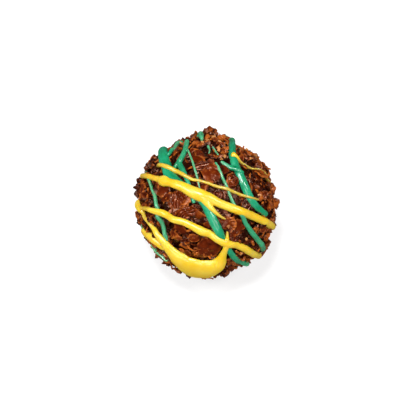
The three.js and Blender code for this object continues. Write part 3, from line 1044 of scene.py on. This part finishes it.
bits = {
    "seed": 5,
    "look": {**plainLump, "size": (1.3, 1.0, 0.8), "bumps": 2.0, "uneven": 0.3},
    "variants": 8,
    "level": 0.6,  # over the ball's mean level, where the picture shows them
    "shown": {"lift": 0.75, "tip": 0.2, "tint": (0.3, 1.1)},
    "count": 36,  # tries for those that lie on the sides and below
    "hidden": {"lift": 0.45, "tip": 0.3, "tint": (0.0, 0.8)},
    "hiddenSizes": (0.5, 0.8),
    "hiddenFrom": 0.2,  # of the way to the eye
    "jitter": 1.5,
    "fullTurn": 6.28,
}
# caramel-coloured bits that show, as [right, up, size], the rest lie anywhere
shownBits = [
    [0.3, 16.4, 0.9], [2.0, 16.4, 0.8], [3.3, 13.8, 1.1], [3.4, 15.8, 0.7], [1.6, 15.2, 0.7],
    [4.8, 12.2, 0.9], [4.0, 11.6, 0.7], [-0.9, 15.5, 0.9], [9.0, 13.7, 0.8], [10.0, 13.4, 0.7],
    [12.2, 11.9, 1.0], [11.1, 11.3, 0.6], [13.5, 2.3, 0.8], [16.0, 4.6, 0.9], [10.2, -8.7, 0.6],
    [8.9, -12.3, 0.8], [-12.5, -12.6, 0.8], [5.7, -5.6, 0.8],
]


def layBit(heap, templates, direction, rng, how, size):
    heap.lay(
        rng.choice(templates), direction, rng,
        lift=how["lift"] + coatLift(direction),
        turn=rng.uniform(0, bits["fullTurn"]),
        tip=how["tip"],
        scale=(size, size, size),
        tint=rng.uniform(*how["tint"]),
    )


def layBits():
    rng = random.Random(bits["seed"])
    templates = [chunkTemplate(bits["look"], rng) for _ in range(bits["variants"])]
    heap = Heap("caramel_bits")
    for right, up, size in shownBits:
        layBit(heap, templates, drawnDirection(right, up, bits["level"]), rng, bits["shown"], size)
    for direction in spread(bits["count"], rng, bits["jitter"]):
        size = rng.uniform(*bits["hiddenSizes"])
        if direction.dot(towardsEye) < bits["hiddenFrom"]:
            layBit(heap, templates, direction, rng, bits["hidden"], size)
    return heap


# larger lumps that break the outline: [right, up, length, width, turn, lift, tint]
rimChunks = [
    [0.9, 18.2, 2.4, 1.8, 60, 2.2, 0.2], [0.2, 17.8, 1.6, 1.2, -40, 1.8, 0.12],
    [1.9, 17.7, 1.9, 1.3, 30, 1.6, 0.18], [0.2, 17.3, 2.2, 1.6, 20, 1.2, 0.1],
    [1.9, 17.2, 2.2, 1.5, -30, 1.1, 0.22], [5.4, 17.2, 2.4, 1.6, -20, 0.9, 0.3],
    [12.4, 12.4, 2.4, 1.8, 0, 0.9, 0.45], [14.8, 10.0, 2.2, 1.4, 50, 0.7, 0.5],
    [17.6, 0.9, 2.2, 1.6, 80, 1.4, 0.25], [16.4, 6.2, 2.4, 1.5, -30, 0.6, 0.35],
    [16.9, -3.6, 2.0, 1.5, 10, 0.6, 0.3], [-17.0, 2.6, 2.4, 1.8, 70, 1.1, -0.05],
    [-16.9, 4.2, 1.9, 1.4, 20, 0.9, 0.0], [-16.2, 5.8, 1.8, 1.4, 50, 0.7, 0.05],
    [-13.6, 9.4, 1.9, 1.5, 40, 1.2, -0.15], [-14.6, 10.2, 1.8, 1.3, -10, 1.0, -0.05],
    [-12.6, 8.5, 1.7, 1.3, 0, 1.2, -0.1], [-13.0, 10.4, 1.8, 1.4, 70, 1.0, -0.05],
    [-14.4, 8.9, 1.6, 1.2, 20, 1.1, 0.0], [-11.9, -12.4, 2.4, 1.7, -45, 0.9, 0.3],
    [10.6, -15.0, 2.2, 1.6, 30, 1.0, 0.3], [15.4, -9.6, 2.2, 1.5, -60, 1.0, 0.3],
    [5.0, -17.6, 2.0, 1.5, 0, 0.8, 0.35], [-6.6, -17.0, 1.9, 1.4, 15, 0.8, 0.3],
]
rimLook = {**scattered["crumbs"]["look"], "cuts": 4, "thickness": 1.4, "tip": 0.2, "seed": 17}


def layRim(heap):
    rng = random.Random(rimLook["seed"])
    for right, up, long, wide, turn, lift, tint in rimChunks:
        look = {**rimLook, "size": (long, wide, rimLook["thickness"])}
        heap.lay(
            chunkTemplate(look, rng), drawnDirection(right, up, lift - ball["coatDepth"]), rng,
            lift=lift, turn=math.radians(turn), tip=rimLook["tip"], tint=tint,
        )


def heightOver(pieces, direction):
    # how far out the highest of the pieces reaches in a direction
    best = ball["radius"] - drizzle["lowest"]
    start = centre + direction * (ball["radius"] + drizzle["feltFrom"])
    for piece in pieces:
        hit, place, _, _ = piece.ray_cast(start, -direction)
        if hit:
            best = max(best, (place - centre).length)
    return best


def acrossStrand(directions, widths):
    # which way it is wide: square to its path, but straight down the ball where it is a broad pouch
    sides = []
    for i, direction in enumerate(directions):
        ahead = directions[min(i + 1, len(directions) - 1)] - directions[max(i - 1, 0)]
        square = direction.cross(ahead).normalized()
        down = (direction * direction.dot(towardsEye) - towardsEye).normalized()
        if down.dot(square) < 0:
            down = -down
        share = float(ramp(widths[i], drizzle["downwards"]))
        sides.append((square * (1 - share) + down * share).normalized())
    return sides


def strandLevels(directions, widths, sides, highs, pieces):
    # how far out the strand lies on the pieces, evened out along it
    tops = np.zeros(len(directions))
    for i, direction in enumerate(directions):
        half = widths[i] / 2 / ball["radius"]
        feelers = [(direction + sides[i] * half * k).normalized() for k in drizzle["feelers"]]
        felt = [heightOver(pieces, feeler) for feeler in feelers]
        mean = sum(felt) / len(felt)
        tops[i] = drizzle["onHighest"] * max(felt) + (1 - drizzle["onHighest"]) * mean
        tops[i] -= drizzle["sinks"] * highs[i]
    levels = np.zeros((len(directions), 1))
    for i, width in enumerate(widths):
        bridge = drizzle["bridges"][0] if width < drizzle["thread"] else drizzle["bridges"][1]
        span = round(bridge / drizzle["step"])
        levels[i] = tops[max(0, i - span):i + span + 1].max()
    close, even = [smoothed(levels, reach)[:, 0] for reach in drizzle["settle"]]
    share = ramp(widths, drizzle["settling"])
    return close * (1 - share) + even * share


def strandMesh(strand, pieces, rng):
    # points and faces of one strand that lies on the pieces
    line = strandLine(strand)
    count = len(line)
    directions = [Vector(row[:3]).normalized() for row in line]
    widths = line[:, 3]
    highs = np.minimum(drizzle["mostHeight"], drizzle["fullHeight"] * widths + drizzle["threadHeight"])
    across = acrossStrand(directions, widths)
    levels = strandLevels(directions, widths, across, highs, pieces)
    seed = rng.uniform(0, patternSpan)
    sides = drizzle["sides"]
    widthLeft, depthLeft = drizzle["bluntest"]
    unevenness, quickness = drizzle["ripple"]
    rings = []
    for i, direction in enumerate(directions):
        fromEnd = min(i, count - 1 - i) * drizzle["step"]
        half = widths[i] / 2
        inEnd = 1 - min(1.0, fromEnd / max(half, drizzle["shortEnd"]))
        blunt = math.sqrt(max(0.0, 1 - inEnd ** 2))
        along = Vector((i * drizzle["step"] * quickness / max(1.0, half), seed, 0.0))
        ripple = 1 + unevenness * noise.noise(along)
        wide = half * ripple * max(blunt, widthLeft)
        high = highs[i] * max(blunt, widthLeft)
        deep = drizzle["sunk"] * max(blunt, depthLeft)
        for k in range(sides):
            turn = 2 * math.pi * k / sides
            up = math.sin(turn)
            out = high * up if up > 0 else deep * up
            away = wide * math.cos(turn) / levels[i]
            outwards = direction * math.cos(away) + across[i] * math.sin(away)
            rings.append(centre + outwards * (levels[i] + out))
    faces = []
    for i in range(count - 1):
        for k in range(sides):
            nextK = (k + 1) % sides
            faces.append((i * sides + k, i * sides + nextK, (i + 1) * sides + nextK, (i + 1) * sides + k))
    faces.append(tuple(range(sides - 1, -1, -1)))
    faces.append(tuple((count - 1) * sides + k for k in range(sides)))
    return rings, faces, [(centre + d * level, w) for d, level, w in zip(directions, levels, widths)]


def drapedPiece(name, points, faces):
    piece = newPiece(name, points, faces)
    selectOnly(piece)
    bpy.ops.object.mode_set(mode="EDIT")
    bpy.ops.mesh.select_all(action="SELECT")
    bpy.ops.mesh.normals_make_consistent(inside=False)
    bpy.ops.object.mode_set(mode="OBJECT")
    return piece


def widthsNear(piece, middles):
    # how wide the strand is that each point of the drizzle lies on
    near = KDTree(len(middles))
    for i, (place, _) in enumerate(middles):
        near.insert(place, i)
    near.balance()
    widths = []
    full, past = drizzle["edge"]
    for vertex in piece.data.vertices:
        widest = 0.0
        for _, i, away in near.find_range(vertex.co, drizzle["nearest"]):
            width = middles[i][1]
            widest = max(widest, width * min(1.0, full - away / (width / 2 + past)))
        widths.append(widest)
    return widths


def makeDrizzle(name, routes, pieces):
    rng = random.Random(drizzle["seeds"][name])
    points = []
    faces = []
    middles = []
    for strand in routes:
        if "over" in strand:
            # it crosses over the strands before it
            pieces = pieces + [drapedPiece(name + "_under", points, faces)]
        ring, skin, line = strandMesh(strand, pieces, rng)
        middles += line
        faces += [tuple(k + len(points) for k in face) for face in skin]
        points += ring
    for under in [piece for piece in pieces if piece.name.startswith(name)]:
        bpy.data.objects.remove(under)
    piece = drapedPiece(name, points, faces)
    addModifier(piece, "REMESH", mode="VOXEL", voxel_size=drizzle["voxel"])
    addModifier(piece, "SMOOTH", iterations=drizzle["skinSmoothing"])
    addModifier(piece, "DECIMATE", ratio=drizzle["kept"])
    applyModifiers(piece)
    thick = piece.vertex_groups.new(name="thick")
    for vertex, width in zip(piece.data.vertices, widthsNear(piece, middles)):
        thick.add([vertex.index], float(ramp(width, drizzle["smoothed"])), "REPLACE")
    addModifier(piece, "SMOOTH", iterations=drizzle["smoothing"], vertex_group="thick")
    applyModifiers(piece)
    piece.vertex_groups.clear()
    widths = widthsNear(piece, middles)
    # painted shade: down the ball's sides, away from the eye, the width read for the colour is cut, so that
    # the strands take the duller thin colour
    for vertex in piece.data.vertices:
        facing = (vertex.co - centre).normalized().dot(towardsEye)
        full = min(1.0, max(0.0, facing / drizzle["sideShadeFrom"]))
        widths[vertex.index] *= 1 - drizzle["sideShade"] * (1 - full)
    piece.data.attributes.new("width", "FLOAT", "POINT").data.foreach_set("value", widths)
    return piece


# Floor, light and camera

table = {
    "size": 3.0,  # in metres, as all of the stage
    "under": 0.0001,
    "grey": 0.42,
    "glow": 0.62,  # keeps the praline's shadow pale
    "roughness": 0.7,
    "gloss": 0.2,
}
lights = {
    "world": 0.06,
    "lamps": {
        "top softbox": {"at": (-0.06, 0.06, 0.62), "size": 0.16, "power": 2.75},
        "left softbox": {"at": (-0.34, -0.02, 0.46), "size": 0.20, "power": 1.6},
        "right softbox": {"at": (0.34, 0.02, 0.46), "size": 0.20, "power": 1.45},
        "front softbox": {"at": (0.02, -0.36, 0.42), "size": 0.24, "power": 0.75},
    },
}


def makeStage():
    bpy.ops.object.select_all(action="DESELECT")
    bpy.ops.mesh.primitive_plane_add(size=table["size"], location=(0, 0, -table["under"]))
    floor = bpy.context.active_object
    floor.name = "floor"
    floor.visible_glossy = False  # so that its glare doesn't grey the dark chocolate
    paint = Paint("lit white table", {
        "Base Color": (table["grey"], table["grey"], table["grey"], 1.0),
        "Roughness": table["roughness"],
        "Specular IOR Level": table["gloss"],
        "Emission Color": (1.0, 1.0, 1.0, 1.0),
        "Emission Strength": table["glow"],
    })
    floor.data.materials.append(paint.material)
    world = bpy.data.worlds.new("studio")
    bpy.context.scene.world = world
    world.use_nodes = True
    background = world.node_tree.nodes["Background"]
    background.inputs["Color"].default_value = (1.0, 1.0, 1.0, 1.0)
    background.inputs["Strength"].default_value = lights["world"]
    for name, lamp in lights["lamps"].items():
        bpy.ops.object.light_add(type="AREA", location=lamp["at"])
        light = bpy.context.active_object
        light.name = name
        light.data.shape = "DISK"
        light.data.size = lamp["size"]
        light.data.energy = lamp["power"]
        light.rotation_euler = (centre * millimetre - light.location).to_track_quat("-Z", "Y").to_euler()
    bpy.ops.object.select_all(action="DESELECT")


def makeCamera():
    data = bpy.data.cameras.new("camera")
    camera = bpy.data.objects.new("camera", data)
    bpy.context.scene.collection.objects.link(camera)
    data.sensor_width = eye["filmWidth"]
    data.lens = eye["filmWidth"] * eye["distance"] / eye["frameWidth"]
    data.clip_start = eye["nearClip"]
    target = centre - pictureRight * eye["ballRight"] - pictureUp * eye["ballUp"]
    camera.location = (target + towardsEye * eye["distance"]) * millimetre
    camera.rotation_euler = Matrix((pictureRight, pictureUp, towardsEye)).transposed().to_euler()
    bpy.context.scene.camera = camera


bpy.context.scene.view_settings.view_transform = "Standard"
makeStage()
makeCamera()
print("stage set")

body = makeCore()
print("core made")
smoothHeap = layBroad("smooth")
ridgedHeap = layBroad("ridged")
layShown(smoothHeap, ridgedHeap)
heaps = [smoothHeap, ridgedHeap]
for name in ("small_shavings", "slivers", "crumbs", "fine_crumbs"):
    heaps.append(layScattered(name))
    if name == "crumbs":
        layRim(heaps[-1])
coating = [heap.join() for heap in heaps]
bitPiece = layBits().join()
print("coating laid")
green = makeDrizzle("green_drizzle", greenRoutes, [body] + coating)
yellow = makeDrizzle("yellow_drizzle", yellowRoutes, [body, green] + coating)
print("drizzle poured")

creases = {"core": 60, "coating": 32, "bits": 35, "drizzle": 80}  # degrees from which an edge looks sharp
flaked = flakedChocolate()
finishPiece(body, coreChocolate(), creases["core"])
for piece in coating:
    finishPiece(piece, flaked, creases["coating"])
finishPiece(bitPiece, nutBrittle(), creases["bits"])
finishPiece(green, drizzledChocolate("green"), creases["drizzle"])
finishPiece(yellow, drizzledChocolate("yellow"), creases["drizzle"])
